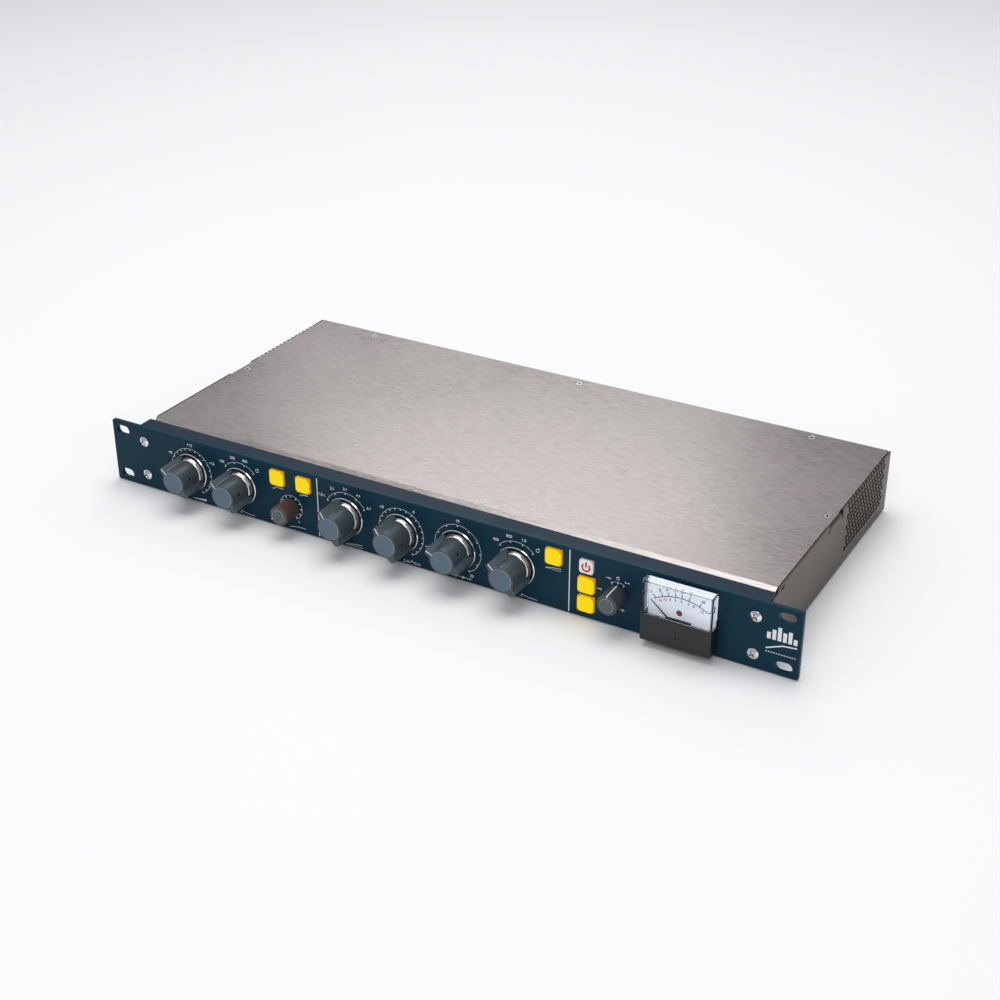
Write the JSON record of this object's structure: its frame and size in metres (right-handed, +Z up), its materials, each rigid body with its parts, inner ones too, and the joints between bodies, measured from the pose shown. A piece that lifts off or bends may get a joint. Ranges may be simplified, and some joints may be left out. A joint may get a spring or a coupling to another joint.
{
  "type": "rack compressor",
  "caption": "Rack-mounted audio compressor: navy front panel with winged rotary controls, lit push buttons and a needle meter, on a vented metal chassis.",
  "frame": {"origin": "centre of the rack bolt pattern, on the rear face of the front panel where the ears meet the rack rails", "axes": "+X to the right seen from the front, +Y back into the rack, +Z up"},
  "size_m": [0.4826, 0.2372, 0.0436],
  "materials": {
    "navy_paint": "satin powder coat",
    "slate_paint": "satin paint, slightly lighter from the light it catches",
    "cover_metal": "fine brushed, warm grey",
    "tray_metal": "fine brushed, warm grey",
    "rear_paint": "satin",
    "zinc_screw": "zinc plated",
    "bright_screw": "nickel plated",
    "circuit_board": "solder mask",
    "nylon": "matte",
    "toroid_tape": "taped winding",
    "transformer_can": "drawn can",
    "capacitor_sleeve": "shrink sleeve",
    "connector_black": "matte",
    "connector_metal": "nickel plated",
    "rocker_black": "gloss",
    "control_metal": "plated",
    "switch_black": "matte",
    "knob_body": "satin moulded",
    "knob_cap": "satin moulded",
    "small_knob_body": "satin moulded",
    "small_knob_cap": "gloss",
    "spindle_chrome": "polished boss above a black skirt",
    "shaft_steel": "turned",
    "amber_lens": "lit translucent amber",
    "white_lens": "gloss",
    "meter_clear": "clear moulding",
    "meter_black": "gloss moulding",
    "dial_white": "matt white",
    "needle_black": "matt black"
  },
  "bodies": {
    "chassis": {"audio_in_socket": "connector_metal", "audio_out_socket": "connector_metal", "audio_transformers": "transformer_can", "board_standoffs": "nylon", "button_switch_bodies": "switch_black", "chassis_screws": "zinc_screw", "chassis_tray": "tray_metal", "control_nuts": "control_metal", "cover_screws": "zinc_screw", "filter_capacitors": "capacitor_sleeve", "front_panel": "navy_paint", "front_subframe": "slate_paint", "fuse_holder": "connector_black", "main_board": "circuit_board", "mains_inlet": "connector_black", "mains_transformer": "toroid_tape", "meter_bezel": "meter_black", "meter_case": "meter_black", "meter_dial": "dial_white", "meter_movement": "meter_black", "meter_window": "meter_clear", "panel_screws": "bright_screw", "potentiometer_bodies": "control_metal", "power_switch_body": "connector_black", "rear_panel": "rear_paint", "rotary_switch_bodies": "control_metal", "top_cover": "cover_metal"},
    "level_control": {"level_knob": "knob_body", "level_knob_cap": "knob_cap", "level_spindle": "spindle_chrome"},
    "limit_recovery_control": {"limit_recovery_knob": "knob_body", "limit_recovery_knob_cap": "knob_cap", "limit_recovery_spindle": "spindle_chrome"},
    "ratio_control": {"ratio_knob": "knob_body", "ratio_knob_cap": "knob_cap", "ratio_spindle": "spindle_chrome"},
    "threshold_control": {"threshold_knob": "knob_body", "threshold_knob_cap": "knob_cap", "threshold_spindle": "spindle_chrome"},
    "gain_control": {"gain_knob": "knob_body", "gain_knob_cap": "knob_cap", "gain_spindle": "spindle_chrome"},
    "comp_recovery_control": {"comp_recovery_knob": "knob_body", "comp_recovery_knob_cap": "knob_cap", "comp_recovery_spindle": "spindle_chrome"},
    "attack_control": {"attack_knob": "small_knob_body", "attack_knob_cap": "small_knob_cap", "attack_shaft": "shaft_steel"},
    "meter_select_control": {"meter_select_knob": "small_knob_body", "meter_select_knob_cap": "small_knob_cap", "meter_select_shaft": "shaft_steel"},
    "limit_fast_push": {"limit_fast_button": "amber_lens"},
    "limit_in_push": {"limit_in_button": "amber_lens"},
    "compress_in_push": {"compress_in_button": "amber_lens"},
    "white_push": {"white_button": "white_lens"},
    "bypass_push": {"bypass_button": "amber_lens"},
    "link_push": {"link_button": "amber_lens"},
    "needle": {"meter_needle": "needle_black"},
    "zero_adjuster": {"meter_zero_screw": "meter_black"},
    "rocker": {"power_rocker": "rocker_black"}
  },
  "joints": [
    {"name": "level_turn", "type": "hinge", "parent": "chassis", "child": "level_control", "pos_m": [-0.1769, -0.003, -0.0003], "axis": [0, 1, 0], "range_deg": [-102.5, 197.5]},
    {"name": "limit_recovery_turn", "type": "hinge", "parent": "chassis", "child": "limit_recovery_control", "pos_m": [-0.1374, -0.003, -0.0003], "axis": [0, 1, 0], "range_deg": [0, 90]},
    {"name": "ratio_turn", "type": "hinge", "parent": "chassis", "child": "ratio_control", "pos_m": [-0.0559, -0.003, -0.0003], "axis": [0, 1, 0], "range_deg": [-30, 90]},
    {"name": "threshold_turn", "type": "hinge", "parent": "chassis", "child": "threshold_control", "pos_m": [-0.0157, -0.003, -0.0003], "axis": [0, 1, 0], "range_deg": [-118, 182]},
    {"name": "gain_turn", "type": "hinge", "parent": "chassis", "child": "gain_control", "pos_m": [0.0245, -0.003, -0.0003], "axis": [0, 1, 0], "range_deg": [-85.5, 214.5]},
    {"name": "comp_recovery_turn", "type": "hinge", "parent": "chassis", "child": "comp_recovery_control", "pos_m": [0.0646, -0.003, -0.0003], "axis": [0, 1, 0], "range_deg": [0, 90]},
    {"name": "attack_turn", "type": "hinge", "parent": "chassis", "child": "attack_control", "pos_m": [-0.098, -0.003, -0.0054], "axis": [0, 1, 0], "range_deg": [-30, 270]},
    {"name": "meter_select_turn", "type": "hinge", "parent": "chassis", "child": "meter_select_control", "pos_m": [0.1306, -0.003, 0], "axis": [0, 1, 0], "range_deg": [-30, 30]},
    {"name": "limit_fast_press", "type": "slide", "parent": "chassis", "child": "limit_fast_push", "axis": [0, 1, 0], "range_m": [0, 0.0015], "stiffness_N_per_m": 400},
    {"name": "limit_in_press", "type": "slide", "parent": "chassis", "child": "limit_in_push", "axis": [0, 1, 0], "range_m": [0, 0.0015], "stiffness_N_per_m": 400},
    {"name": "compress_in_press", "type": "slide", "parent": "chassis", "child": "compress_in_push", "axis": [0, 1, 0], "range_m": [0, 0.0015], "stiffness_N_per_m": 400},
    {"name": "white_press", "type": "slide", "parent": "chassis", "child": "white_push", "axis": [0, 1, 0], "range_m": [0, 0.0015], "stiffness_N_per_m": 400},
    {"name": "bypass_press", "type": "slide", "parent": "chassis", "child": "bypass_push", "axis": [0, 1, 0], "range_m": [0, 0.0015], "stiffness_N_per_m": 400},
    {"name": "link_press", "type": "slide", "parent": "chassis", "child": "link_push", "axis": [0, 1, 0], "range_m": [0, 0.0015], "stiffness_N_per_m": 400},
    {"name": "needle_swing", "type": "hinge", "parent": "chassis", "child": "needle", "pos_m": [0.1715, -0.003, -0.0082], "axis": [0, 1, 0], "range_deg": [0, 98], "stiffness_Nm_per_rad": 0.0001},
    {"name": "zero_adjust", "type": "hinge", "parent": "chassis", "child": "zero_adjuster", "pos_m": [0.1715, -0.003, -0.0096], "axis": [0, 1, 0], "range_deg": [-45, 45]},
    {"name": "power_toggle", "type": "hinge", "parent": "chassis", "child": "rocker", "pos_m": [0.108, 0.2078, -0.0006], "axis": [0, 0, 1], "range_deg": [-20, 0]}
  ]
}
